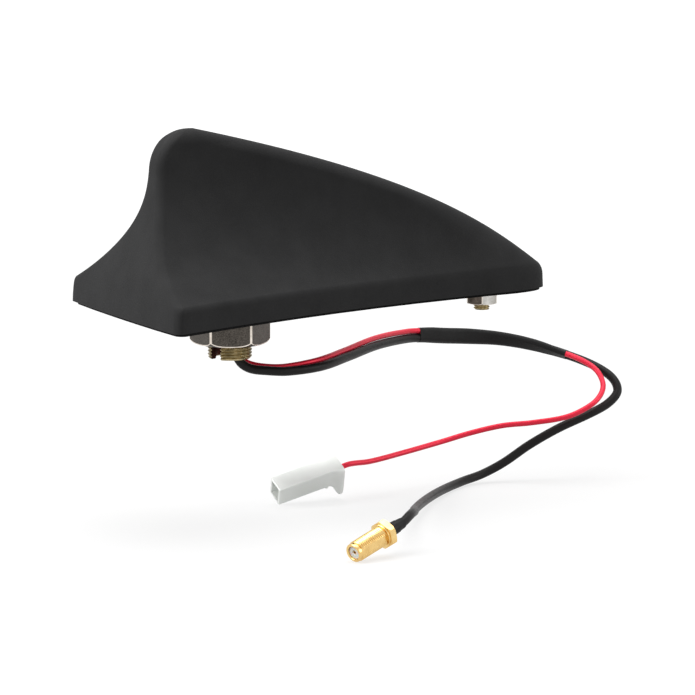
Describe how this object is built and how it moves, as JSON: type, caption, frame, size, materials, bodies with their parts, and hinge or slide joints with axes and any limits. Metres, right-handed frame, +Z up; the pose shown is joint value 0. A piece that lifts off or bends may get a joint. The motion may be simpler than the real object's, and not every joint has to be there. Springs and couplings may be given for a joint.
{
  "type": "shark fin aerial",
  "caption": "Car roof aerial in a black moulded fin cover, with a hollow threaded roof stud, a nose stud, a supply lead and a coaxial lead.",
  "frame": {"origin": "on the axis of the roof stud, in the plane of the roof's outer skin", "axes": "+X towards the nose, +Z up away from the roof, -Z down along the roof stud"},
  "size_m": [0.1844, 0.1137, 0.1239],
  "materials": {
    "cover_plastic": "fine matt grain",
    "base_plastic": "matt",
    "gasket_rubber": "matt",
    "stud_steel": "yellow zinc plating",
    "nut_steel": "dull nickel plating",
    "bright_steel": "bright zinc plating",
    "board": "green circuit board",
    "copper": "bare copper",
    "tin": "tinned sheet",
    "black_jacket": "satin cable jacket",
    "red_jacket": "smooth wire jacket",
    "heat_shrink": "heat shrink tube",
    "gold": "gold plating",
    "white_insulator": "white insulator",
    "natural_nylon": "milky natural nylon"
  },
  "bodies": {
    "root": {"fin_cover": "cover_plastic", "base_plate": "base_plastic", "seal_gasket": "gasket_rubber", "roof_stud": "stud_steel", "roof_nut": "nut_steel", "toothed_washer": "nut_steel", "nose_stud": "bright_steel", "nose_nut": "bright_steel", "cover_screws": "bright_steel", "amplifier_board": "board", "board_screws": "bright_steel", "shield_can": "tin", "antenna_board": "board", "antenna_track": "copper", "coax_cable": "black_jacket", "supply_wire": "red_jacket", "cord_sleeve": "heat_shrink", "boot_sleeve": "heat_shrink", "jack_body": "gold", "jack_insulator": "white_insulator", "jack_contact": "gold", "plug_housing": "natural_nylon", "plug_terminal": "tin"}
  },
  "joints": []
}
